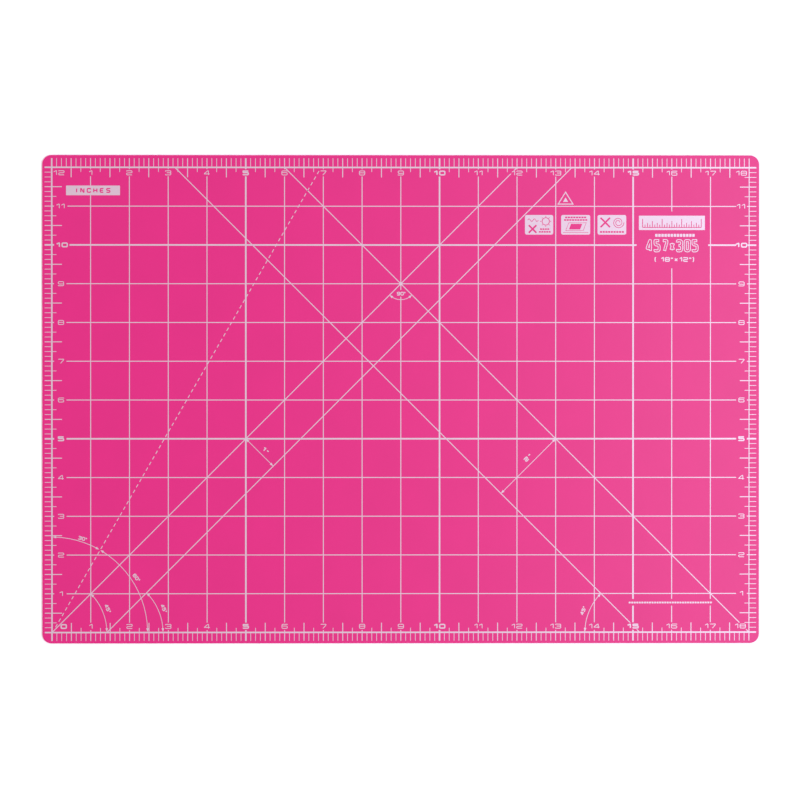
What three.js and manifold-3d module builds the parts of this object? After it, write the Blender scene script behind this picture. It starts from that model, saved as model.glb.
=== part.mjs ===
// Self-healing cutting mat with a printed 18 x 12 inch grid.
//
// Three laminated plies carry a film of printed ink. Nothing on the mat moves.
// Units are millimetres. The origin is the centre of the underside, +X runs along the
// long side to the right, +Y runs away from the user, and +Z points up out of the print.

import * as THREE from 'three';
import { mergeVertices } from 'three/addons/utils/BufferGeometryUtils.js';
import Module from 'manifold-3d';

const wasm = await Module();
wasm.setup();

const INCH = 25.4;

// Sheet
const MAT_LENGTH = 470;
const MAT_WIDTH = 320;
const CORNER_RADIUS = 6;
const CORNER_STEPS = 6;
const PLY_THICKNESS = 0.5;
const PLY_NAMES = ['bottom_ply', 'core_ply', 'top_ply'];

// Printed area
const GRID_INCHES_X = 18;
const GRID_INCHES_Y = 12;
const PRINT_LENGTH = GRID_INCHES_X * INCH;
const PRINT_WIDTH = GRID_INCHES_Y * INCH;
const PRINT_SHIFT_X = -0.13;
const PRINT_SHIFT_Y = -0.45;
const INK_THICKNESS = 0.05;

// Line widths
const BOLD_LINE = 1.05;
const LINE = 0.57;
const FINE_LINE = 0.41;
const BOLD_EVERY = 5;

// Rulers: quarter-inch ticks that cross the border line, from a depth outside it to a depth
// inside it, which depends on whether they mark a whole, half or quarter inch
const QUARTERS = 4;
const RULERS = {
  front: { border: 1.0, outer: 5.5, half: 6.3, quarter: 3.0, whole: 1.5 },
  back: { border: 1.0, outer: 6.0, half: 6.5, quarter: 3.0, whole: 1.2 },
  left: { border: 1.0, outer: 4.7, half: 6.6, quarter: 3.0, whole: 1.5 },
  right: { border: LINE, outer: 4.7, half: 6.1, quarter: 2.9, whole: 1.4 },
};

// Where the grid lines stop short of the border, to leave room for the numerals
const COLUMN_INSET_FRONT = 6.5;
const COLUMN_INSET_BACK = 5.9;
const ROW_INSET_LEFT = 9.6;
const ROW_INSET_LEFT_10 = 11.6;
const ROW_INSET_LEFT_11 = 10.3;
const ROW_INSET_RIGHT = 8.5;

// Guides that end at a ruler are part of that ruler's ink film down to this depth
const GUIDE_BAND = 4;

// The depths between which a numeral breaks the diagonal that ends beside it
const NUMERAL_TOP = 1.8;
const NUMERAL_DEPTH_FRONT = 6.3;
const NUMERAL_DEPTH_BACK = 4;

// 45 degree guides: the lower one of each pair is one or two inches from the upper one
const RISING_OFFSETS = [0, Math.SQRT2];
const FALLING_SUMS = [GRID_INCHES_X, GRID_INCHES_X - 2 * Math.SQRT2];

// Arcs and arrowheads
const ARC_STEP_DEGREES = 10;
const ARROW_LENGTH = 2.4;
const ARROW_WIDTH = 1.7;
const PROTRACTOR_RADIUS = 2.465;
const PROTRACTOR_SPLIT_DEGREES = 60;
const PROTRACTOR_GAP_DEGREES = 0.35;
const ANGLE_ARC_RADIUS = Math.SQRT2;
const SECOND_ARC_RADIUS = 1.448;
const BORDER_OVERLAP = 0.8;
const RIGHT_ANGLE_RADIUS = 0.41;
const RIGHT_ANGLE_CENTRE = [9, 9];
const CENTRE_DOT_RADIUS = 1.15;
const DOT_STEPS = 10;

// Printed plates, in inches from the print's front left corner
const UNIT_PLATE = [0.368, 11.28, 1.758, 11.53];
const TITLE_PLATE = [15.15, 10.39, 16.855, 10.76];
const CARE_PANELS = {
  care_panel_left_ink: [12.205, 10.27, 12.935, 10.777],
  care_panel_middle_ink: [13.14, 10.27, 13.89, 10.777],
  care_panel_right_ink: [14.08, 10.27, 14.822, 10.777],
};

// Gaps in the grid, in inches: the right angle's label, the title block, and the ends of
// columns that the unit plate and the footnote cut off from the rest of the grid
const FOOTNOTE = [0.684, 0.86];
const GRID_GAPS = [
  [8.9, 8.663, 9.1, 8.842],
  [15.9, 9.4, 16.1, 10.87],
  [15.09, 9.9, 16.94, 10.1],
  [14.9, 0, 17.1, FOOTNOTE[1]],
  [0.9, UNIT_PLATE[1], 1.1, GRID_INCHES_Y],
];
const COLUMNS_OVER_UNIT_PLATE = [1];
const COLUMNS_UNDER_FOOTNOTE = [15, 16, 17];
const PANEL_RADIUS = 1.2;
const PLATE_RADIUS = 0.3;
const PANEL_STEPS = 3;
const TRIANGLE_BASE_CENTRE = [13.254, 11.047];
const TRIANGLE_SIDE = 10.8;
const TRIANGLE_HEIGHT = 8.7;
const TRIANGLE_LINE = 0.6;

// Joined films lose the points that this tolerance allows, along straight edges
const SIMPLIFY_TOLERANCE = 0.0005;
const FLAT_HEIGHT = 0.0008;
const TRADE_PASSES = 4;

const FRONT_EDGE = RULERS.front.border / 2;
const BACK_EDGE = PRINT_WIDTH - RULERS.back.border / 2;
const LEFT_EDGE = RULERS.left.border / 2;
const RIGHT_EDGE = PRINT_LENGTH - RULERS.right.border / 2;

const skinMaterial = new THREE.MeshStandardMaterial({ color: 0xe23a8a, roughness: 0.62, metalness: 0 });
const coreMaterial = new THREE.MeshStandardMaterial({ color: 0xd02f7b, roughness: 0.7, metalness: 0 });
const inkMaterial = new THREE.MeshStandardMaterial({ color: 0xe6cfe0, roughness: 0.5, metalness: 0 });

// ---- Shapes ---------------------------------------------------------------------------

function prism(shape, depth, curveSegments = 1) {
  return new THREE.ExtrudeGeometry(shape, { depth, bevelEnabled: false, curveSegments });
}

function polygon(points) {
  return new THREE.Shape(points.map(([x, y]) => new THREE.Vector2(x, y)));
}

function roundedRectangle(x0, y0, x1, y1, radius) {
  const shape = new THREE.Shape();
  shape.moveTo(x0 + radius, y0);
  shape.lineTo(x1 - radius, y0);
  shape.absarc(x1 - radius, y0 + radius, radius, -Math.PI / 2, 0, false);
  shape.lineTo(x1, y1 - radius);
  shape.absarc(x1 - radius, y1 - radius, radius, 0, Math.PI / 2, false);
  shape.lineTo(x0 + radius, y1);
  shape.absarc(x0 + radius, y1 - radius, radius, Math.PI / 2, Math.PI, false);
  shape.lineTo(x0, y0 + radius);
  shape.absarc(x0 + radius, y0 + radius, radius, Math.PI, 1.5 * Math.PI, false);
  return shape;
}

// ---- Ink solids: every one is a prism from the sheet's face up to the ink's thickness ----

function inkSolid(shape, curveSegments) {
  const geometry = prism(shape, INK_THICKNESS, curveSegments);
  geometry.deleteAttribute('normal');
  geometry.deleteAttribute('uv');
  const merged = mergeVertices(geometry);
  const mesh = new wasm.Mesh({
    numProp: 3,
    vertProperties: merged.attributes.position.array,
    triVerts: new Uint32Array(merged.index.array),
  });
  return new wasm.Manifold(mesh);
}

function box(x0, y0, x1, y1) {
  return inkSolid(polygon([[x0, y0], [x1, y0], [x1, y1], [x0, y1]]));
}

function inchBox([x0, y0, x1, y1]) {
  return box(x0 * INCH, y0 * INCH, x1 * INCH, y1 * INCH);
}

function stroke([ax, ay], [bx, by], width) {
  const length = Math.hypot(bx - ax, by - ay);
  const nx = (-(by - ay) / length) * (width / 2);
  const ny = ((bx - ax) / length) * (width / 2);
  return inkSolid(polygon([[ax - nx, ay - ny], [bx - nx, by - ny], [bx + nx, by + ny], [ax + nx, ay + ny]]));
}

function arcBand([cx, cy], radius, startDegrees, endDegrees) {
  const start = THREE.MathUtils.degToRad(startDegrees);
  const end = THREE.MathUtils.degToRad(endDegrees);
  const shape = new THREE.Shape();
  shape.absarc(cx, cy, radius + FINE_LINE / 2, start, end, false);
  shape.absarc(cx, cy, radius - FINE_LINE / 2, end, start, true);
  return inkSolid(shape, Math.ceil((endDegrees - startDegrees) / ARC_STEP_DEGREES));
}

// An arrowhead with its point at the tip, flying along the heading in degrees
function arrowhead([x, y], headingDegrees) {
  const heading = THREE.MathUtils.degToRad(headingDegrees);
  const ux = Math.cos(heading);
  const uy = Math.sin(heading);
  const baseX = x - ux * ARROW_LENGTH;
  const baseY = y - uy * ARROW_LENGTH;
  const half = ARROW_WIDTH / 2;
  const leftBarb = [baseX - uy * half, baseY + ux * half];
  const rightBarb = [baseX + uy * half, baseY - ux * half];
  return inkSolid(polygon([[x, y], leftBarb, rightBarb]));
}

function disc([cx, cy], radius, steps) {
  const shape = new THREE.Shape();
  shape.absarc(cx, cy, radius, 0, 2 * Math.PI, false);
  return inkSolid(shape, steps);
}

function joined(solids) {
  return solids.reduce((whole, solid) => whole.add(solid));
}

function longestEdge(points, triangle) {
  const lengths = triangle.map((from, i) => points[from].distanceTo(points[triangle[(i + 1) % 3]]));
  return lengths.indexOf(Math.max(...lengths));
}

function isFlat(points, triangle) {
  const k = longestEdge(points, triangle);
  const [from, to, middle] = [0, 1, 2].map((j) => points[triangle[(k + j) % 3]]);
  return (2 * new THREE.Triangle(from, to, middle).getArea()) / from.distanceTo(to) < FLAT_HEIGHT;
}

// A flat triangle has its corners on one line. It trades its longest edge with the triangle
// beyond that edge, unless that one is flat too and has to trade first: both then have an
// area, and the surface stays where it was.
function tradeFlatTriangles(points, triangles) {
  for (let pass = 0; pass < TRADE_PASSES; pass += 1) {
    for (const flat of triangles.filter((triangle) => isFlat(points, triangle))) {
      const k = longestEdge(points, flat);
      const [p, q, middle] = [0, 1, 2].map((j) => flat[(k + j) % 3]);
      const beyond = triangles.find((t) => t.some((from, j) => from === q && t[(j + 1) % 3] === p));
      if (!isFlat(points, beyond)) {
        const far = beyond.find((corner) => corner !== p && corner !== q);
        flat.splice(0, 3, p, far, middle);
        beyond.splice(0, 3, far, q, middle);
      }
    }
  }
}

function meshFromSolid(solid, name, material) {
  const { vertProperties, triVerts } = solid.asOriginal().simplify(SIMPLIFY_TOLERANCE).getMesh();
  const points = [];
  for (let i = 0; i < vertProperties.length; i += 3) {
    points.push(new THREE.Vector3().fromArray(vertProperties, i));
  }
  const triangles = [];
  for (let i = 0; i < triVerts.length; i += 3) triangles.push([...triVerts.slice(i, i + 3)]);
  tradeFlatTriangles(points, triangles);
  const geometry = new THREE.BufferGeometry().setFromPoints(points);
  geometry.setIndex(triangles.flat());
  const flat = geometry.toNonIndexed();
  flat.computeVertexNormals();
  const mesh = new THREE.Mesh(flat, material);
  mesh.name = name;
  return mesh;
}

// ---- Plies ----------------------------------------------------------------------------

function ply(name, level) {
  const outline = roundedRectangle(
    -MAT_LENGTH / 2, -MAT_WIDTH / 2, MAT_LENGTH / 2, MAT_WIDTH / 2, CORNER_RADIUS);
  const material = name === 'core_ply' ? coreMaterial : skinMaterial;
  const mesh = new THREE.Mesh(prism(outline, PLY_THICKNESS, CORNER_STEPS), material);
  mesh.name = name;
  mesh.position.z = level * PLY_THICKNESS;
  return mesh;
}

// ---- Rulers ---------------------------------------------------------------------------

// Boxes given along a side and inward from its border line, for each of the four sides
const SIDE_BOXES = {
  front: (a, inA, b, inB) => box(a, inA, b, inB),
  back: (a, inA, b, inB) => box(a, PRINT_WIDTH - inB, b, PRINT_WIDTH - inA),
  left: (a, inA, b, inB) => box(inA, a, inB, b),
  right: (a, inA, b, inB) => box(PRINT_LENGTH - inB, a, PRINT_LENGTH - inA, b),
};

function tickWidth(step) {
  if (step % (QUARTERS * BOLD_EVERY) === 0) return BOLD_LINE;
  return step % (QUARTERS / 2) === 0 ? LINE : FINE_LINE;
}

// A numeral in the corner takes the place of the inner end of the quarter tick beside it
function besideCornerNumeral(step, side) {
  const last = (side === 'left' ? GRID_INCHES_Y : GRID_INCHES_X) * QUARTERS - 1;
  if (side === 'left') return step === last;
  return side !== 'right' && (step === 1 || step === last);
}

function tickDepth(step, side) {
  const { whole, half, quarter } = RULERS[side];
  if (besideCornerNumeral(step, side)) return 0;
  if (step % QUARTERS === 0) return whole;
  return step % (QUARTERS / 2) === 0 ? half : quarter;
}

function tick(side, step) {
  const at = (step * INCH) / QUARTERS;
  const half = tickWidth(step) / 2;
  return SIDE_BOXES[side](at - half, -RULERS[side].outer, at + half, tickDepth(step, side));
}

function ticks(side, inches) {
  const solids = [];
  for (let step = 1; step < inches * QUARTERS; step += 1) solids.push(tick(side, step));
  return solids;
}

// A front or back ruler owns the corners, so it holds the ends of all the border lines
function longRuler(side) {
  const { border, outer } = RULERS[side];
  return joined([
    SIDE_BOXES[side](-RULERS.left.outer, -border / 2, PRINT_LENGTH + RULERS.right.outer, border / 2),
    SIDE_BOXES[side](-LEFT_EDGE, -outer, LEFT_EDGE, border / 2),
    SIDE_BOXES[side](RIGHT_EDGE, -outer, 2 * PRINT_LENGTH - RIGHT_EDGE, border / 2),
    ...ticks(side, GRID_INCHES_X),
  ]);
}

function shortRuler(side) {
  const half = RULERS[side].border / 2;
  const borderLine = SIDE_BOXES[side](FRONT_EDGE, -half, BACK_EDGE, half);
  return joined([borderLine, ...ticks(side, GRID_INCHES_Y)]);
}

// ---- Inch grid --------------------------------------------------------------------------

function lineWidth(inch) {
  return inch % BOLD_EVERY === 0 ? BOLD_LINE : LINE;
}

function rowInsetLeft(inch) {
  if (inch === 10) return ROW_INSET_LEFT_10;
  return inch === 11 ? ROW_INSET_LEFT_11 : ROW_INSET_LEFT;
}

function column(inch, y0, y1) {
  const half = lineWidth(inch) / 2;
  return box(inch * INCH - half, y0, inch * INCH + half, y1);
}

function gridLines() {
  const lines = [];
  for (let inch = 1; inch < GRID_INCHES_X; inch += 1) {
    lines.push(column(inch, COLUMN_INSET_FRONT, PRINT_WIDTH - COLUMN_INSET_BACK));
  }
  for (let inch = 1; inch < GRID_INCHES_Y; inch += 1) {
    const half = lineWidth(inch) / 2;
    const y = inch * INCH;
    lines.push(box(rowInsetLeft(inch), y - half, PRINT_LENGTH - ROW_INSET_RIGHT, y + half));
  }
  return joined(lines).subtract(joined(GRID_GAPS.map(inchBox)));
}

// ---- Guides: 45 degree lines, angle arcs and dimension lines ------------------------------

function inInches(x, y) {
  return [x * INCH, y * INCH];
}

// Each 45 degree line runs from border to border
function diagonals() {
  const rising = RISING_OFFSETS.map((offset) =>
    stroke(inInches(offset, 0), inInches(GRID_INCHES_Y + offset, GRID_INCHES_Y), LINE));
  const falling = FALLING_SUMS.map((sum) =>
    stroke(inInches(sum - GRID_INCHES_Y, GRID_INCHES_Y), inInches(sum, 0), LINE));
  return joined([...rising, ...falling]);
}

// The numerals 12, 15 and 18 break the diagonals that end beside them
function numeralSpaces() {
  const twelve = GRID_INCHES_Y * INCH;
  const back = box(
    twelve - NUMERAL_DEPTH_BACK - LINE, PRINT_WIDTH - NUMERAL_DEPTH_BACK, twelve, PRINT_WIDTH - NUMERAL_TOP);
  const front = FALLING_SUMS.map((sum) =>
    box(sum * INCH - NUMERAL_DEPTH_FRONT - LINE, NUMERAL_TOP, sum * INCH, NUMERAL_DEPTH_FRONT));
  return joined([back, ...front]);
}

function pointOnArc([cx, cy], radius, degrees) {
  const angle = THREE.MathUtils.degToRad(degrees);
  return [cx + radius * Math.cos(angle), cy + radius * Math.sin(angle)];
}

// An arc with an arrowhead at each end, its points on the lines that it measures between.
// The band stops inside each head, and the head follows the arc's chord there.
function dimensionArc(centre, radius, startDegrees, endDegrees) {
  const headDegrees = THREE.MathUtils.radToDeg(ARROW_LENGTH / radius);
  const quarterTurn = 90;
  return joined([
    arcBand(centre, radius, startDegrees + headDegrees / 2, endDegrees - headDegrees / 2),
    arrowhead(pointOnArc(centre, radius, startDegrees), startDegrees + headDegrees / 2 - quarterTurn),
    arrowhead(pointOnArc(centre, radius, endDegrees), endDegrees - headDegrees / 2 + quarterTurn),
  ]);
}

function dimensionLine(from, to) {
  const heading = THREE.MathUtils.radToDeg(Math.atan2(to[1] - from[1], to[0] - from[0]));
  const halfTurn = 180;
  return joined([
    stroke(from, to, FINE_LINE),
    arrowhead(to, heading),
    arrowhead(from, heading + halfTurn),
  ]);
}

// The angle at which an arc's point just enters the border line that it stands on
function touchDegrees(radius) {
  return THREE.MathUtils.radToDeg((BORDER_OVERLAP * FRONT_EDGE) / radius);
}

function angleArcs() {
  const corner = inInches(0, 0);
  const protractor = PROTRACTOR_RADIUS * INCH;
  const small = ANGLE_ARC_RADIUS * INCH;
  const second = SECOND_ARC_RADIUS * INCH;
  const split = PROTRACTOR_SPLIT_DEGREES;
  const touch = touchDegrees(protractor);
  return joined([
    dimensionArc(corner, protractor, touch, split - PROTRACTOR_GAP_DEGREES),
    dimensionArc(corner, protractor, split + PROTRACTOR_GAP_DEGREES, 90 - touch),
    dimensionArc(corner, small, touchDegrees(small), 45),
    dimensionArc(inInches(RISING_OFFSETS[1], 0), second, touchDegrees(second), 45),
    dimensionArc(inInches(FALLING_SUMS[1], 0), small, 135, 180 - touchDegrees(small)),
    dimensionArc(inInches(...RIGHT_ANGLE_CENTRE), RIGHT_ANGLE_RADIUS * INCH, 225, 315),
  ]);
}

// One inch between the rising lines, and two inches between the falling ones
function dimensionLines() {
  const halfStep = Math.SQRT1_2;
  return joined([
    dimensionLine(inInches(5, 5), inInches(5 + halfStep, 5 - halfStep)),
    dimensionLine(inInches(13, 5), inInches(13 - 2 * halfStep, 5 - 2 * halfStep)),
  ]);
}

function guides() {
  const printArea = box(LEFT_EDGE, FRONT_EDGE, RIGHT_EDGE, BACK_EDGE);
  return diagonals()
    .subtract(numeralSpaces())
    .add(angleArcs())
    .add(dimensionLines())
    .add(disc(inInches(...RIGHT_ANGLE_CENTRE), CENTRE_DOT_RADIUS, DOT_STEPS))
    .intersect(printArea);
}

// ---- Plates and marks ---------------------------------------------------------------------

function plate(name, [x0, y0, x1, y1], radius) {
  const outline = roundedRectangle(x0 * INCH, y0 * INCH, x1 * INCH, y1 * INCH, radius);
  const mesh = new THREE.Mesh(prism(outline, INK_THICKNESS, PANEL_STEPS), inkMaterial);
  mesh.name = name;
  return mesh;
}

// A set-square mark: a triangle outline of even line width
function triangleMark() {
  const [x, y] = inInches(...TRIANGLE_BASE_CENTRE);
  const half = TRIANGLE_SIDE / 2;
  const slope = Math.hypot(half, TRIANGLE_HEIGHT);
  const inradius = (half * TRIANGLE_HEIGHT) / (half + slope);
  const shrink = (inradius - TRIANGLE_LINE) / inradius;
  const corners = [[-half, 0], [half, 0], [0, TRIANGLE_HEIGHT]];
  const outline = polygon(corners.map(([dx, dy]) => [x + dx, y + dy]));
  const inner = corners.map(([dx, dy]) => [x + dx * shrink, y + inradius + (dy - inradius) * shrink]);
  outline.holes.push(polygon(inner));
  const mesh = new THREE.Mesh(prism(outline, INK_THICKNESS), inkMaterial);
  mesh.name = 'triangle_mark_ink';
  return mesh;
}

// ---- Assembly -------------------------------------------------------------------------------

const mat = new THREE.Group();
PLY_NAMES.forEach((name, level) => mat.add(ply(name, level)));

const print = new THREE.Group();
print.position.set(
  -PRINT_LENGTH / 2 + PRINT_SHIFT_X,
  -PRINT_WIDTH / 2 + PRINT_SHIFT_Y,
  PLY_NAMES.length * PLY_THICKNESS);
mat.add(print);

// The guides are one film with the grid, except in the bands where they meet a ruler
const guideFilm = guides();
const bands = {
  front: box(0, 0, PRINT_LENGTH, GUIDE_BAND),
  back: box(0, PRINT_WIDTH - GUIDE_BAND, PRINT_LENGTH, PRINT_WIDTH),
  left: box(0, 2 * INCH, GUIDE_BAND, 3 * INCH),
};
const rulers = {
  front: longRuler('front').add(guideFilm.intersect(bands.front)),
  back: longRuler('back').add(guideFilm.intersect(bands.back)),
  left: shortRuler('left').add(guideFilm.intersect(bands.left)),
  right: shortRuler('right'),
};
const gridFilm = gridLines().add(guideFilm.subtract(joined(Object.values(bands))));

for (const [side, solid] of Object.entries(rulers)) {
  print.add(meshFromSolid(solid, `${side}_ruler_ink`, inkMaterial));
}
print.add(meshFromSolid(gridFilm, 'inch_grid_ink', inkMaterial));
for (const inch of COLUMNS_OVER_UNIT_PLATE) {
  const stub = column(inch, UNIT_PLATE[3] * INCH, PRINT_WIDTH - COLUMN_INSET_BACK);
  print.add(meshFromSolid(stub, `column_${inch}_back_end_ink`, inkMaterial));
}
for (const inch of COLUMNS_UNDER_FOOTNOTE) {
  const stub = column(inch, COLUMN_INSET_FRONT, FOOTNOTE[0] * INCH);
  print.add(meshFromSolid(stub, `column_${inch}_front_end_ink`, inkMaterial));
}
print.add(plate('unit_plate_ink', UNIT_PLATE, PLATE_RADIUS));
print.add(plate('title_plate_ink', TITLE_PLATE, PLATE_RADIUS));
for (const [name, corners] of Object.entries(CARE_PANELS)) {
  print.add(plate(name, corners, PANEL_RADIUS));
}
print.add(triangleMark());

export default mat;
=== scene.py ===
"""Looks of the self-healing cutting mat: vinyl plies, printed ink, numerals, labels and studio."""

import math

import bmesh
import bpy
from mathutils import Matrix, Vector
from mathutils.geometry import delaunay_2d_cdt


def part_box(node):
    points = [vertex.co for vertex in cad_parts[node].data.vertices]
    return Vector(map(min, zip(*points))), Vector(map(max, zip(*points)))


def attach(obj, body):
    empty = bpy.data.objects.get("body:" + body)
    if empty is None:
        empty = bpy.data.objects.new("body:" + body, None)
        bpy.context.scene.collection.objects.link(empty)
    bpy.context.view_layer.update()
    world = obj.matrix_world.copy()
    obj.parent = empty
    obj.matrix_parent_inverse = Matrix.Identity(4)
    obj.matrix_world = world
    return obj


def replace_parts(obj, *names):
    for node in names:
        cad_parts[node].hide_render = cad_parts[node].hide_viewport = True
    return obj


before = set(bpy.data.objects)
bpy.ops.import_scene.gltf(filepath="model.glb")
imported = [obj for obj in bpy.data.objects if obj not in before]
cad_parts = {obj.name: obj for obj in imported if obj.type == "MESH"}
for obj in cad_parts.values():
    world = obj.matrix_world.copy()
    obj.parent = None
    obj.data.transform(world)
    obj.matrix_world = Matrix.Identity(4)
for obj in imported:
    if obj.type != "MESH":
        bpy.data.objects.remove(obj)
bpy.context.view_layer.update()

MM = 0.001
INCH = 25.4
INCHES_LONG = 18
INCHES_WIDE = 12
PRINT_LENGTH = INCHES_LONG * INCH
PRINT_WIDTH = INCHES_WIDE * INCH
BODY = "root"

# ---- The print's own coordinates: millimetres from its front left border crossing --------------

TICK_OUTER = {"front": 5.5, "back": 6.0, "left": 4.7, "right": 4.7}
LINE = 0.57
BOLD_LINE = 1.05
FINE_LINE = 0.41
BORDER_LINE = {"front": 1.0, "back": 1.0, "left": 1.0, "right": LINE}
BOLD_EVERY = 5

front_low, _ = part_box("front_ruler_ink")
left_low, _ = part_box("left_ruler_ink")
grid_low, grid_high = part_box("inch_grid_ink")
ORIGIN_X = left_low.x + TICK_OUTER["left"] * MM
ORIGIN_Y = front_low.y + TICK_OUTER["front"] * MM
INK_BOTTOM = grid_low.z
INK_TOP = grid_high.z


def to_frame(point, z):
    """A point of the print, at a height in metres, in the frame's metres."""
    return (ORIGIN_X + point[0] * MM, ORIGIN_Y + point[1] * MM, z)


def node_rectangle(node):
    """A CAD node's x0, y0, x1, y1 in the print's millimetres."""
    low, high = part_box(node)
    return (
        (low.x - ORIGIN_X) / MM,
        (low.y - ORIGIN_Y) / MM,
        (high.x - ORIGIN_X) / MM,
        (high.y - ORIGIN_Y) / MM,
    )


# ---- Flat shapes, in millimetres ---------------------------------------------------------------

SAME_POINT = 1e-3
STRAIGHT = 0.9999
MITRE_LIMIT = 0.6
FILLET_STEPS = 3


def rectangle(x0, y0, x1, y1):
    return [(x0, y0), (x1, y0), (x1, y1), (x0, y1)]


def centre_of(x0, y0, x1, y1):
    return ((x0 + x1) / 2, (y0 + y1) / 2)


def arc_points(cx, cy, radius, start, end, steps):
    """Points along an arc about (cx, cy), from one angle in degrees to another."""
    angles = [math.radians(start + (end - start) * i / steps) for i in range(steps + 1)]
    return [(cx + radius * math.cos(a), cy + radius * math.sin(a)) for a in angles]


def rounded_rectangle(x0, y0, x1, y1, radius, steps):
    corners = [
        (x1 - radius, y0 + radius, -90),
        (x1 - radius, y1 - radius, 0),
        (x0 + radius, y1 - radius, 90),
        (x0 + radius, y0 + radius, 180),
    ]
    points = []
    for cx, cy, start in corners:
        points += arc_points(cx, cy, radius, start, start + 90, steps)
    return points


def filleted(path, radius):
    """The path with its inner corners rounded."""
    points = [path[0]]
    for before, corner, after in zip(path, path[1:], path[2:]):
        corner_v = Vector(corner)
        to_before = Vector(before) - corner_v
        to_after = Vector(after) - corner_v
        turn = math.pi - to_before.angle(to_after)
        reach = min(radius * math.tan(turn / 2), to_before.length / 2, to_after.length / 2)
        start = corner_v + to_before.normalized() * reach
        end = corner_v + to_after.normalized() * reach
        for i in range(FILLET_STEPS + 1):
            t = i / FILLET_STEPS
            blend = start * (1 - t) ** 2 + corner_v * 2 * t * (1 - t) + end * t * t
            points.append(tuple(blend))
    points.append(path[-1])
    return points


def shortened(points, trim):
    """The open path with the same length cut off each end."""
    first = (points[1] - points[0]).normalized()
    last = (points[-2] - points[-1]).normalized()
    return [points[0] + first * trim, *points[1:-1], points[-1] + last * trim]


def left_of(direction):
    return Vector((-direction.y, direction.x))


def joint(point, into, out, half):
    """The kite that fills the outer side of a bend between two straight pieces of a stroke."""
    outer = -1 if into.cross(out) > 0 else 1
    start = left_of(into) * outer
    end = left_of(out) * outer
    middle = (start + end).normalized()
    reach = half / max(middle.dot(start), MITRE_LIMIT)
    return [point, point + start * half, point + middle * reach, point + end * half]


def stroke(path, width, trim=0):
    """The path drawn with a pen, as convex pieces that overlap.

    The trim is the length cut off each end of an open path.
    """
    points = [Vector(point) for point in path]
    points = [points[0]] + [b for a, b in zip(points, points[1:]) if (b - a).length > SAME_POINT]
    closed = (points[0] - points[-1]).length < SAME_POINT
    if trim and not closed:
        points = shortened(points, trim)
    directions = [(b - a).normalized() for a, b in zip(points, points[1:])]
    half = width / 2
    pieces = []
    for start, end, direction in zip(points, points[1:], directions):
        side = left_of(direction) * half
        pieces.append([start - side, end - side, end + side, start + side])
    bends = list(zip(points[1:], directions, directions[1:]))
    if closed:
        bends.append((points[0], directions[-1], directions[0]))
    for point, into, out in bends:
        if into.dot(out) < STRAIGHT:
            pieces.append(joint(point, into, out, half))
    return [[tuple(corner) for corner in piece] for piece in pieces]


# ---- Materials ---------------------------------------------------------------------------------

NOISE_LOW = 0.3
NOISE_HIGH = 0.7
GLOSS_SPREAD = 0.05
WAVE_TO_GRAIN = 9


def new_material(name):
    material = bpy.data.materials.new(name)
    material.use_nodes = True
    nodes = material.node_tree.nodes
    return material, nodes, material.node_tree.links, nodes["Principled BSDF"]


def noise(nodes, links, coordinates, feature_mm, detail, roughness=0.5):
    node = nodes.new("ShaderNodeTexNoise")
    node.inputs["Scale"].default_value = 1 / (feature_mm * MM)
    node.inputs["Detail"].default_value = detail
    node.inputs["Roughness"].default_value = roughness
    links.new(coordinates.outputs["Object"], node.inputs["Vector"])
    return node.outputs["Fac"]


def ramp(nodes, links, source, low, high):
    """A colour that goes from low to high over the noise's usual range."""
    node = nodes.new("ShaderNodeValToRGB")
    node.color_ramp.elements[0].position = NOISE_LOW
    node.color_ramp.elements[0].color = low
    node.color_ramp.elements[1].position = NOISE_HIGH
    node.color_ramp.elements[1].color = high
    links.new(source, node.inputs["Fac"])
    return node.outputs["Color"]


def spread(nodes, links, source, low, high):
    """A value that goes from low to high over the noise's usual range."""
    node = nodes.new("ShaderNodeMapRange")
    node.inputs["From Min"].default_value = NOISE_LOW
    node.inputs["From Max"].default_value = NOISE_HIGH
    node.inputs["To Min"].default_value = low
    node.inputs["To Max"].default_value = high
    links.new(source, node.inputs["Value"])
    return node.outputs["Result"]


def bump(nodes, links, height, depth_mm, previous=None):
    node = nodes.new("ShaderNodeBump")
    node.inputs["Strength"].default_value = 1
    node.inputs["Distance"].default_value = depth_mm * MM
    links.new(height, node.inputs["Height"])
    if previous is not None:
        links.new(previous, node.inputs["Normal"])
    return node.outputs["Normal"]


def shade(colour, factor):
    return (*(min(1, channel * factor) for channel in colour), 1)


def moulded_material(
    name, colour, mottle, mottle_mm, roughness, specular, ior, grain_mm, grain_depth_mm
):
    """A satin sheet or film: cloudy tone, fine pressed grain, and a gloss that follows the grain."""
    material, nodes, links, shader = new_material(name)
    shader.inputs["Specular IOR Level"].default_value = specular
    shader.inputs["IOR"].default_value = ior
    coordinates = nodes.new("ShaderNodeTexCoord")
    clouds = noise(nodes, links, coordinates, mottle_mm, detail=4)
    grain = noise(nodes, links, coordinates, grain_mm, detail=3, roughness=0.6)
    waves = noise(nodes, links, coordinates, grain_mm * WAVE_TO_GRAIN, detail=2)
    tone = ramp(nodes, links, clouds, shade(colour, 1 - mottle), shade(colour, 1 + mottle))
    links.new(tone, shader.inputs["Base Color"])
    gloss = spread(nodes, links, grain, roughness - GLOSS_SPREAD, roughness + GLOSS_SPREAD)
    links.new(gloss, shader.inputs["Roughness"])
    broad = bump(nodes, links, waves, grain_depth_mm)
    links.new(bump(nodes, links, grain, grain_depth_mm, broad), shader.inputs["Normal"])
    return material


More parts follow.
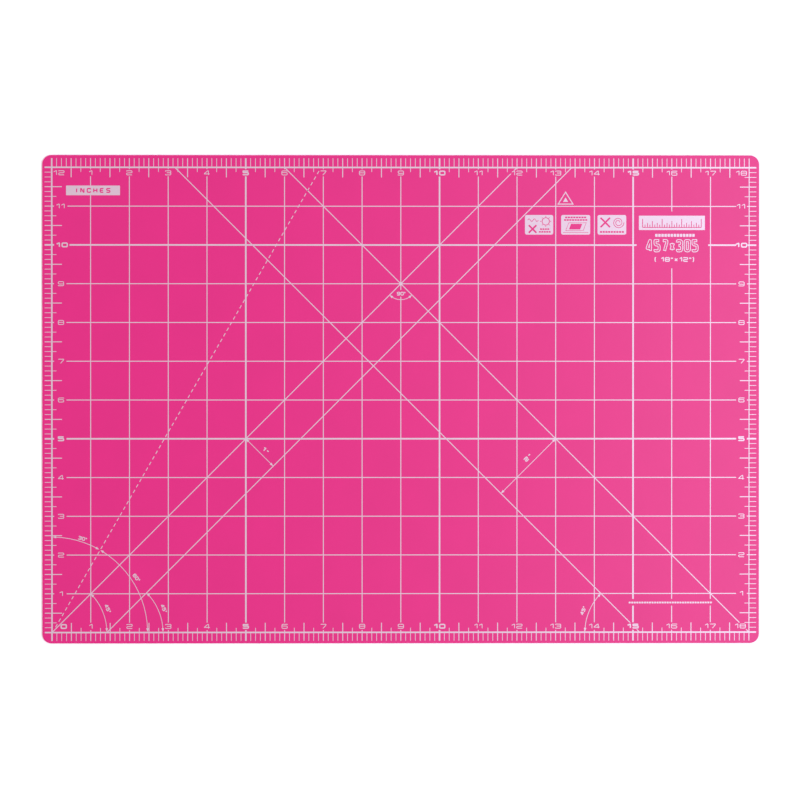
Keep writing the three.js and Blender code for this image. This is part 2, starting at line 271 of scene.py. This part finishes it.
skin_material = moulded_material(
    "skin_vinyl",
    colour=(0.575, 0.0078, 0.146),
    mottle=0.02,
    mottle_mm=34,
    roughness=0.42,
    specular=0.33,
    ior=1.5,
    grain_mm=0.32,
    grain_depth_mm=0.006,
)
core_material = moulded_material(
    "core_vinyl",
    colour=(0.46, 0.011, 0.12),
    mottle=0.04,
    mottle_mm=12,
    roughness=0.62,
    specular=0.3,
    ior=1.5,
    grain_mm=0.5,
    grain_depth_mm=0.01,
)
ink_material = moulded_material(
    "print_ink",
    colour=(0.505, 0.354, 0.4),
    mottle=0.025,
    mottle_mm=7,
    roughness=0.36,
    specular=1.0,
    ior=1.58,
    grain_mm=0.22,
    grain_depth_mm=0.003,
)

# ---- Plies and CAD ink -------------------------------------------------------------------------

PLY_MATERIALS = {"bottom_ply": skin_material, "core_ply": core_material, "top_ply": skin_material}
PLY_EDGE_RADIUS = 0.09
PLY_EDGE_SEGMENTS = 2
PLY_EDGE_ANGLE = 50


def set_material(node, material):
    node.data.materials.clear()
    node.data.materials.append(material)


def round_edges(node):
    bevel = node.modifiers.new("worn_edge", "BEVEL")
    bevel.width = PLY_EDGE_RADIUS * MM
    bevel.segments = PLY_EDGE_SEGMENTS
    bevel.limit_method = "ANGLE"
    bevel.angle_limit = math.radians(PLY_EDGE_ANGLE)


for node_name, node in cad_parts.items():
    set_material(node, PLY_MATERIALS.get(node_name, ink_material))
    if node_name in PLY_MATERIALS:
        round_edges(node)

# ---- Ink films ---------------------------------------------------------------------------------

TRIANGLES_INSIDE = 1
MERGE_DISTANCE = 1e-5


def counter_clockwise(polygon):
    area = sum(a[0] * b[1] - b[0] * a[1] for a, b in zip(polygon, polygon[1:] + polygon[:1]))
    return polygon if area > 0 else polygon[::-1]


def flat_union(shapes, cutouts):
    """The points and triangles of the area that the shapes cover and the cutouts leave."""
    points = []
    polygons = []
    for polygon in [*shapes, *cutouts]:
        polygons.append(list(range(len(points), len(points) + len(polygon))))
        points += [Vector(point) for point in counter_clockwise(polygon)]
    made = delaunay_2d_cdt(points, [], polygons, TRIANGLES_INSIDE, MERGE_DISTANCE)
    made_points, _, triangles, _, _, sources = made
    kept = [
        triangle
        for triangle, source in zip(triangles, sources)
        if source and all(index < len(shapes) for index in source)
    ]
    return made_points, kept


def link_mesh(name, mesh, material):
    """The bmesh as a new object in the scene, and the bmesh freed."""
    data = bpy.data.meshes.new(name)
    mesh.to_mesh(data)
    mesh.free()
    data.materials.append(material)
    made = bpy.data.objects.new(name, data)
    bpy.context.scene.collection.objects.link(made)
    return made


def ink_film(name, shapes, cutouts=()):
    """One piece of ink, as thick as the CAD ink, over the shapes and not over the cutouts."""
    points, triangles = flat_union(shapes, cutouts)
    mesh = bmesh.new()
    used = sorted({index for triangle in triangles for index in triangle})
    lower = {index: mesh.verts.new(to_frame(points[index], INK_BOTTOM)) for index in used}
    upper = {index: mesh.verts.new(to_frame(points[index], INK_TOP)) for index in used}
    edges = set()
    for a, b, c in triangles:
        mesh.faces.new((upper[a], upper[b], upper[c]))
        mesh.faces.new((lower[c], lower[b], lower[a]))
        edges |= {(a, b), (b, c), (c, a)}
    for a, b in sorted(edges):
        if (b, a) not in edges:
            mesh.faces.new((lower[a], lower[b], upper[b], upper[a]))
    piece = link_mesh(name, mesh, ink_material)
    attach(piece, BODY)
    return piece


# ---- Figures: pen paths in a unit box that is as wide and high as one digit --------------------

DEGREE = "\N{DEGREE SIGN}"
DIGITS = {
    "0": [[(0.5, 1), (1, 1), (1, 0), (0, 0), (0, 1), (0.5, 1)]],
    "1": [[(0, 0.74), (0.4, 1), (0.52, 1), (0.52, 0)]],
    "2": [[(0, 0.84), (0, 1), (1, 1), (1, 0.52), (0, 0.46), (0, 0), (1, 0)]],
    "3": [
        [(0, 0.82), (0, 1), (1, 1), (1, 0.52), (0.25, 0.52)],
        [(0.25, 0.52), (1, 0.52), (1, 0), (0, 0), (0, 0.18)],
    ],
    "4": [[(0.76, 0), (0.76, 1), (0.62, 1), (0, 0.3), (0, 0.24), (1, 0.24)]],
    "5": [[(1, 1), (0.08, 1), (0, 1), (0, 0.92), (0, 0.58), (1, 0.58), (1, 0), (0, 0), (0, 0.16)]],
    "6": [[(1, 0.88), (1, 1), (0, 1), (0, 0), (1, 0), (1, 0.58), (0, 0.58)]],
    "7": [[(0, 1), (1, 1), (0.98, 0.82), (0.42, 0)]],
    "8": [[(0.5, 1), (1, 1), (1, 0), (0, 0), (0, 1), (0.5, 1)], [(0, 0.53), (1, 0.53)]],
    "9": [[(0, 0.12), (0, 0), (1, 0), (1, 1), (0, 1), (0, 0.42), (1, 0.42)]],
}
LETTERS = {
    "I": [[(0.25, 0), (0.25, 1)]],
    "N": [[(0, 0), (0, 1), (0.12, 1), (0.88, 0), (1, 0), (1, 1)]],
    "C": [[(1, 0.74), (1, 1), (0, 1), (0, 0), (1, 0), (1, 0.26)]],
    "H": [[(0, 0), (0, 1)], [(0, 0.5), (1, 0.5)], [(1, 0), (1, 1)]],
    "E": [[(1, 1), (0, 1), (0, 0), (1, 0)], [(0, 0.5), (0.85, 0.5)]],
    "S": [[(1, 0.86), (1, 1), (0, 1), (0, 0.53), (1, 0.47), (1, 0), (0, 0), (0, 0.14)]],
}
SIGNS = {
    DEGREE: [[(0.14, 0.76), (0.28, 0.9), (0.14, 1.04), (0, 0.9), (0.14, 0.76)]],
    "\"": [[(0.02, 1), (0, 0.66)], [(0.3, 1), (0.28, 0.66)]],
    "x": [[(0.08, 0.1), (0.72, 0.74)], [(0.08, 0.74), (0.72, 0.1)]],
    "(": [[(0.24, 1.1), (0.04, 0.95), (0.04, 0.05), (0.24, -0.1)]],
    ")": [[(0, 1.1), (0.2, 0.95), (0.2, 0.05), (0, -0.1)]],
    " ": [],
}
PEN_PATHS = {**DIGITS, **LETTERS, **SIGNS}
NARROW_WIDTHS = {
    "1": 0.52,
    "I": 0.5,
    DEGREE: 0.28,
    "\"": 0.32,
    "x": 0.8,
    "(": 0.24,
    ")": 0.24,
    " ": 0.4,
}
CORNER_SHARE = 0.3


class Pen:
    """How a line of figures is drawn: all sizes are in millimetres, over the figures' edges."""

    def __init__(self, height, width, weight, gap):
        self.height = height
        self.width = width
        self.weight = weight
        self.gap = gap

    def glyph_width(self, glyph):
        return (self.width - self.weight) * NARROW_WIDTHS.get(glyph, 1) + self.weight

    def text_width(self, text):
        return sum(self.glyph_width(glyph) for glyph in text) + self.gap * (len(text) - 1)

    def glyph(self, glyph, left, inset):
        """One figure whose left edge is at left and whose middle height is 0."""
        inner_width = self.width - self.weight
        inner_height = self.height - self.weight
        shapes = []
        for path in PEN_PATHS[glyph]:
            placed = [
                (left + self.weight / 2 + x * inner_width, (y - 0.5) * inner_height) for x, y in path
            ]
            rounded = filleted(placed, CORNER_SHARE * inner_height)
            shapes += stroke(rounded, self.weight - 2 * inset, inset)
        return shapes

    def text(self, text, centre, angle=0, inset=0):
        """A line of figures about its centre, turned anticlockwise by the angle in degrees.

        An inset makes every stroke that much smaller on all its sides.
        """
        left = -self.text_width(text) / 2
        turned = math.radians(angle)
        cos, sin = math.cos(turned), math.sin(turned)
        shapes = []
        for glyph in text:
            for shape in self.glyph(glyph, left, inset):
                shapes.append([
                    (centre[0] + x * cos - y * sin, centre[1] + x * sin + y * cos) for x, y in shape
                ])
            left += self.glyph_width(glyph) + self.gap
        return shapes


LIGHT_PEN = Pen(height=3.15, width=4.0, weight=0.47, gap=0.95)
BOLD_PEN = Pen(height=3.25, width=4.2, weight=0.85, gap=0.95)
LABEL_PEN = Pen(height=2.45, width=2.2, weight=0.58, gap=0.15)
INCH_PEN = Pen(height=2.8, width=3.0, weight=0.72, gap=1.1)
UNIT_PEN = Pen(height=3.2, width=2.8, weight=0.75, gap=1.45)
OUTLINE_PEN = Pen(height=8.6, width=4.6, weight=1.9, gap=0.5)
SIZE_PEN = Pen(height=3.1, width=3.3, weight=0.66, gap=0.6)

# ---- Rulers: the odd eighths between the CAD's ticks, and the numerals -------------------------

EIGHTHS = 8


def eighth_ticks(side):
    """Ticks from the border line's outer edge to the depth of the CAD's longer ticks."""
    near = BORDER_LINE[side] / 2
    far = TICK_OUTER[side]
    inches = INCHES_LONG if side in ("front", "back") else INCHES_WIDE
    ticks = []
    for step in range(1, inches * EIGHTHS, 2):
        start = step * INCH / EIGHTHS - FINE_LINE / 2
        end = start + FINE_LINE
        ticks.append({
            "front": rectangle(start, -far, end, -near),
            "back": rectangle(start, PRINT_WIDTH + near, end, PRINT_WIDTH + far),
            "left": rectangle(-far, start, -near, end),
            "right": rectangle(PRINT_LENGTH + near, start, PRINT_LENGTH + far, end),
        }[side])
    return ticks


for side_name in TICK_OUTER:
    ink_film(f"{side_name}_eighth_ticks_ink", eighth_ticks(side_name))

FRONT_ROW_Y = 3.97
BACK_ROW_Y = PRINT_WIDTH - 3.6
ZERO_X = 7.7
FRONT_18_X = 451.5
BACK_12_X = 4.7
BACK_18_X = 452.1
LEFT_COLUMN_X = 6.0
LEFT_10_X = 6.7
LEFT_11_X = 5.65
RIGHT_COLUMN_X = 452.2
RIGHT_11_X = 451.75
RIGHT_10_X = 452.1


def numeral(number, centre):
    pen = BOLD_PEN if number % BOLD_EVERY == 0 else LIGHT_PEN
    return pen.text(str(number), centre)


def long_row(y, first, first_x, last_x):
    """The numerals along the mat's front or back: the first one in the corner, then 1 to 18."""
    shapes = numeral(first, (first_x, y)) + numeral(INCHES_LONG, (last_x, y))
    for inch in range(1, INCHES_LONG):
        shapes += numeral(inch, (inch * INCH, y))
    return shapes


def short_column(x, x_10, x_11):
    """The numerals up the mat's left or right: 1 to 11, the last two with places of their own."""
    shapes = numeral(10, (x_10, 10 * INCH)) + numeral(11, (x_11, 11 * INCH))
    for inch in range(1, 10):
        shapes += numeral(inch, (x, inch * INCH))
    return shapes


ink_film("front_numerals_ink", long_row(FRONT_ROW_Y, 0, ZERO_X, FRONT_18_X))
ink_film("back_numerals_ink", long_row(BACK_ROW_Y, INCHES_WIDE, BACK_12_X, BACK_18_X))
ink_film("left_numerals_ink", short_column(LEFT_COLUMN_X, LEFT_10_X, LEFT_11_X))
ink_film("right_numerals_ink", short_column(RIGHT_COLUMN_X, RIGHT_10_X, RIGHT_11_X))

# ---- Labels of the guides: text, centre in inches, and angle in degrees ------------------------

DEGREE_LABELS = [
    ("30" + DEGREE, (0.791, 2.424), -15),
    ("60" + DEGREE, (2.176, 1.416), -52),
    ("45" + DEGREE, (1.435, 0.620), -65),
    ("45" + DEGREE, (2.883, 0.620), -65),
    ("45" + DEGREE, (13.712, 0.556), 67),
    ("90" + DEGREE, (9.010, 8.745), 0),
]
INCH_LABELS = [
    ("1\"", (5.508, 4.703), -45),
    ("2\"", (12.280, 4.508), 45),
]


def labels(pen, places):
    shapes = []
    for text, (x, y), angle in places:
        shapes += pen.text(text, (x * INCH, y * INCH), angle)
    return shapes


ink_film("guide_labels_ink", labels(LABEL_PEN, DEGREE_LABELS) + labels(INCH_PEN, INCH_LABELS))

# ---- Dashed 60 degree guide --------------------------------------------------------------------

DASH_PITCH = INCH / 6
DASH_LENGTH = 2.3
DASH_WIDTH = 0.5
DASH_FIRST = 4.05
DASH_LAST = 349.0
DASH_SHIFT = Vector((0.33, 0))
DASH_LEAN = math.radians(30)


def line_width(inch):
    return BOLD_LINE if inch % BOLD_EVERY == 0 else LINE


def grid_rectangles():
    """The grid lines' areas, which the dashes leave out because the CAD ink is there."""
    areas = []
    for inch in range(1, INCHES_LONG):
        half = line_width(inch) / 2
        areas.append(rectangle(inch * INCH - half, 0, inch * INCH + half, PRINT_WIDTH))
    for inch in range(1, INCHES_WIDE):
        half = line_width(inch) / 2
        areas.append(rectangle(0, inch * INCH - half, PRINT_LENGTH, inch * INCH + half))
    return areas


def dashes():
    """Dashes from the print's corner, leaning to the right of the short side's direction."""
    direction = Vector((math.sin(DASH_LEAN), math.cos(DASH_LEAN)))
    shapes = []
    along = DASH_FIRST
    while along < DASH_LAST:
        start = DASH_SHIFT + direction * along
        end = start + direction * DASH_LENGTH
        shapes += stroke([start, end], DASH_WIDTH)
        along += DASH_PITCH
    return shapes


ink_film("dashed_guide_ink", dashes(), grid_rectangles())

# ---- Printed plates: the CAD plates with their marks knocked out of the ink --------------------

PLATE_RADIUS = 0.3
PLATE_CORNER_STEPS = 3
UNIT_WORD = "INCHES"
UNIT_WORD_SHIFT = -0.1


def knocked_out_plate(name, node, outline, cutouts):
    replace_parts(ink_film(name, [outline], cutouts), node)


def unit_plate():
    area = node_rectangle("unit_plate_ink")
    x, y = centre_of(*area)
    outline = rounded_rectangle(*area, PLATE_RADIUS, PLATE_CORNER_STEPS)
    word = UNIT_PEN.text(UNIT_WORD, (x + UNIT_WORD_SHIFT, y))
    knocked_out_plate("unit_plate_print", "unit_plate_ink", outline, word)


TITLE_MARGIN = 2.4
TITLE_BASE_LIFT = 1.68
TITLE_TICKS = 25
TITLE_TICK_GROUP = 8
TITLE_TICK_WIDTH = 0.5
TITLE_TICK_HEIGHTS = {0: 5.6, 4: 4.2, 2: 3.0, 6: 3.0}
TITLE_SHORT_TICK = 1.9


def title_plate():
    """A ruler scale knocked out of the plate: a base line and ticks like those of a steel rule."""
    x0, y0, x1, y1 = node_rectangle("title_plate_ink")
    base = y0 + TITLE_BASE_LIFT
    left = x0 + TITLE_MARGIN
    right = x1 - TITLE_MARGIN
    step = (right - left) / (TITLE_TICKS - 1)
    marks = stroke([(left, base), (right, base)], TITLE_TICK_WIDTH)
    for i in range(TITLE_TICKS):
        height = TITLE_TICK_HEIGHTS.get(i % TITLE_TICK_GROUP, TITLE_SHORT_TICK)
        x = left + i * step
        marks += stroke([(x, base), (x, base + height)], TITLE_TICK_WIDTH)
    outline = rounded_rectangle(x0, y0, x1, y1, PLATE_RADIUS, PLATE_CORNER_STEPS)
    knocked_out_plate("title_plate_print", "title_plate_ink", outline, marks)


# Every mark's place on a care panel is in millimetres from the panel's own edges.

PANEL_RADIUS = 1.2
PANEL_CORNER_STEPS = 6
CROSS_LINE = 1.1
SUN_RADIUS = 2.4
SUN_STEPS = 20
SUN_RAYS = 8
SUN_RAY_START = 2.9
SUN_RAY_END = 3.55
SUN_LINE = 0.5
WAVE_POINTS = 15
WAVE_STEP = 0.5
WAVE_TURN = 0.9
WAVE_HEIGHT = 0.9
WAVE_LINE = 0.4
SHEET_LINE = 0.3
COIL_POINTS = 29
COIL_START = 1.0
COIL_GROWTH = 0.1
COIL_TURN = 0.45
COIL_LINE = 0.42


def bars(x0, x1, y, count, height, gap):
    """A row of short bars that stands for a line of small print."""
    length = (x1 - x0 - gap * (count - 1)) / count
    lefts = [x0 + i * (length + gap) for i in range(count)]
    return [rectangle(left, y, left + length, y + height) for left in lefts]


def cross(cx, cy, half):
    rising = [(cx - half, cy - half), (cx + half, cy + half)]
    falling = [(cx - half, cy + half), (cx + half, cy - half)]
    return stroke(rising, CROSS_LINE) + stroke(falling, CROSS_LINE)


def sun(cx, cy):
    marks = stroke(arc_points(cx, cy, SUN_RADIUS, 0, 360, SUN_STEPS), SUN_LINE)
    for i in range(SUN_RAYS):
        angle = 2 * math.pi * i / SUN_RAYS
        ray = [
            (cx + reach * math.cos(angle), cy + reach * math.sin(angle))
            for reach in (SUN_RAY_START, SUN_RAY_END)
        ]
        marks += stroke(ray, SUN_LINE)
    return marks


def wave(x, y):
    points = []
    for i in range(WAVE_POINTS):
        points.append((x + WAVE_STEP * i, y + WAVE_HEIGHT * math.sin(WAVE_TURN * i)))
    return stroke(points, WAVE_LINE)


def coil(cx, cy):
    points = []
    for i in range(COIL_POINTS):
        radius = COIL_START + COIL_GROWTH * i
        angle = COIL_TURN * i
        points.append((cx + radius * math.cos(angle), cy + radius * math.sin(angle)))
    return stroke(points, COIL_LINE)


def sun_marks(x0, y0, x1, y1):
    """Keep out of the sun: a cross, a sun, a wavy sheet and two lines of bars."""
    marks = cross(x0 + 5.0, y0 + 3.7, half=2.5)
    marks += sun(x1 - 4.9, y1 - 4.2)
    marks += wave(x0 + 1.8, y1 - 3.4)
    marks += bars(x1 - 8.6, x1 - 2.6, y0 + 3.1, count=4, height=1.0, gap=0.35)
    marks += bars(x1 - 9.4, x1 - 1.7, y0 + 1.3, count=5, height=1.0, gap=0.3)
    return marks


def flat_marks(x0, y0, x1, y1):
    """Keep flat: two lines of bars over a mat that lies on a table."""
    marks = bars(x0 + 2.6, x1 - 2.6, y1 - 2.1, count=8, height=1.05, gap=0.35)
    marks += bars(x0 + 1.9, x1 - 1.9, y1 - 3.8, count=9, height=1.05, gap=0.35)
    table = [(x0 + 3.0, y0 + 2.6), (x1 - 4.6, y0 + 2.6), (x1 - 2.6, y1 - 5.1), (x0 + 5.0, y1 - 5.1)]
    marks += stroke([*table, table[0]], SHEET_LINE)
    mat = [(x0 + 5.1, y0 + 3.4), (x1 - 6.6, y0 + 3.4), (x1 - 5.2, y1 - 5.8), (x0 + 6.4, y1 - 5.8)]
    marks.append(mat)
    marks += stroke([(x0 + 1.2, y0 + 1.4), (x1 - 1.2, y0 + 1.4)], SHEET_LINE)
    return marks


def roll_marks(x0, y0, x1, y1):
    """Don't roll up: a cross, a coil of sheet and a line of bars."""
    marks = cross(x0 + 5.1, y1 - 4.9, half=3.1)
    marks += coil(x1 - 5.2, y1 - 4.9)
    marks += bars(x0 + 1.6, x1 - 1.6, y0 + 1.2, count=9, height=1.15, gap=0.4)
    return marks


CARE_PANELS = {
    "care_panel_left": sun_marks,
    "care_panel_middle": flat_marks,
    "care_panel_right": roll_marks,
}


def care_panels():
    for panel, marks in CARE_PANELS.items():
        area = node_rectangle(panel + "_ink")
        outline = rounded_rectangle(*area, PANEL_RADIUS, PANEL_CORNER_STEPS)
        knocked_out_plate(panel + "_print", panel + "_ink", outline, marks(*area))


unit_plate()
title_plate()
care_panels()

# ---- Marks that stand free of the CAD ink ------------------------------------------------------

TRIANGLE_LIFT = 1.75
TRIANGLE_HALF_WIDTH = 1.7
TRIANGLE_HEIGHT = 2.9
OUTLINE_TEXT = "457x305"
OUTLINE_INK = 0.52
OUTLINE_SHIFT = 0.2
OUTLINE_Y = 9.984 * INCH
SIZE_TEXT = "( 18\"x12\")"
SIZE_SHIFT = 1.6
SIZE_Y = 9.63 * INCH
TITLE_RULE = {
    "x0": 15.57 * INCH,
    "x1": 16.59 * INCH,
    "y": 10.215 * INCH,
    "count": 13,
    "height": 1.9,
    "gap": 0.45,
}
FOOTNOTE_RULE = {
    "x0": 14.89 * INCH,
    "x1": 17.04 * INCH,
    "y": 0.744 * INCH,
    "count": 33,
    "height": 1.1,
    "gap": 0.4,
}


def triangle_centre():
    """A small solid triangle inside the outlined one, as on a set square."""
    area = node_rectangle("triangle_mark_ink")
    x, _ = centre_of(*area)
    low = area[1] + TRIANGLE_LIFT
    left = (x - TRIANGLE_HALF_WIDTH, low)
    right = (x + TRIANGLE_HALF_WIDTH, low)
    ink_film("triangle_centre_ink", [[left, right, (x, low + TRIANGLE_HEIGHT)]])


def title_lines():
    """Under the title plate: the printed area in outlined millimetres, then in inches, and bars."""
    x, _ = centre_of(*node_rectangle("title_plate_ink"))
    centre = (x + OUTLINE_SHIFT, OUTLINE_Y)
    outside = OUTLINE_PEN.text(OUTLINE_TEXT, centre)
    inside = OUTLINE_PEN.text(OUTLINE_TEXT, centre, inset=OUTLINE_INK)
    ink_film("outlined_size_ink", outside, inside)
    ink_film("inch_size_ink", SIZE_PEN.text(SIZE_TEXT, (x + SIZE_SHIFT, SIZE_Y)))
    ink_film("title_rule_ink", bars(**TITLE_RULE))


triangle_centre()
title_lines()
ink_film("footnote_rule_ink", bars(**FOOTNOTE_RULE))

# ---- Studio ------------------------------------------------------------------------------------

FLOOR_COLOUR = (0.9, 0.9, 0.9, 1)
FLOOR_ROUGHNESS = 0.9
FLOOR_HALF = 4
FLOOR_DROP = 0.0001
VIEW_WIDTH = 524.56
LENS = 135
SENSOR = 36
CAMERA_TARGET = (-0.67, -0.45)
CAMERA_OFFSET = (-18, 10)


def make_floor():
    material, _, _, shader = new_material("floor_paper")
    shader.inputs["Base Color"].default_value = FLOOR_COLOUR
    shader.inputs["Roughness"].default_value = FLOOR_ROUGHNESS
    mesh = bmesh.new()
    corners = rectangle(-FLOOR_HALF, -FLOOR_HALF, FLOOR_HALF, FLOOR_HALF)
    mesh.faces.new([mesh.verts.new((x, y, 0)) for x, y in corners])
    floor = link_mesh("floor", mesh, material)
    floor.location.z = -FLOOR_DROP


def area_light(name, location, size, energy, colour=(1, 1, 1)):
    """A soft box of the size given, across and along the mat's short side, aimed at the mat."""
    data = bpy.data.lights.new(name, "AREA")
    data.shape = "RECTANGLE"
    data.size_y, data.size = size
    data.energy = energy
    data.color = colour
    light = bpy.data.objects.new(name, data)
    bpy.context.scene.collection.objects.link(light)
    light.location = location
    light.rotation_euler = (-light.location).to_track_quat("-Z", "Y").to_euler()


def make_world(strength):
    world = bpy.data.worlds.new("studio")
    world.use_nodes = True
    background = world.node_tree.nodes["Background"]
    background.inputs["Color"].default_value = (1, 1, 1, 1)
    background.inputs["Strength"].default_value = strength
    bpy.context.scene.world = world


def make_camera():
    """Almost straight above the mat: a little to its left and back, and turned to its middle."""
    data = bpy.data.cameras.new("camera")
    data.lens = LENS
    data.sensor_width = SENSOR
    camera = bpy.data.objects.new("camera", data)
    bpy.context.scene.collection.objects.link(camera)
    height = VIEW_WIDTH * LENS / SENSOR
    target_x, target_y = CAMERA_TARGET
    right, back = CAMERA_OFFSET
    camera.location = ((target_x + right) * MM, (target_y + back) * MM, INK_TOP + height * MM)
    camera.rotation_euler = (-math.atan(back / height), math.atan(right / height), 0)
    bpy.context.scene.camera = camera


make_floor()
make_world(strength=0.6)
area_light(
    "key_right",
    location=(0.62, 0.0, 1.4),
    size=(0.5, 1.4),
    energy=22,
    colour=(0.77, 0.77, 1.0),
)
area_light("fill_left", location=(-1.3, 0.0, 0.9), size=(1.2, 2.4), energy=11)
make_camera()
bpy.context.scene.view_settings.view_transform = "Standard"
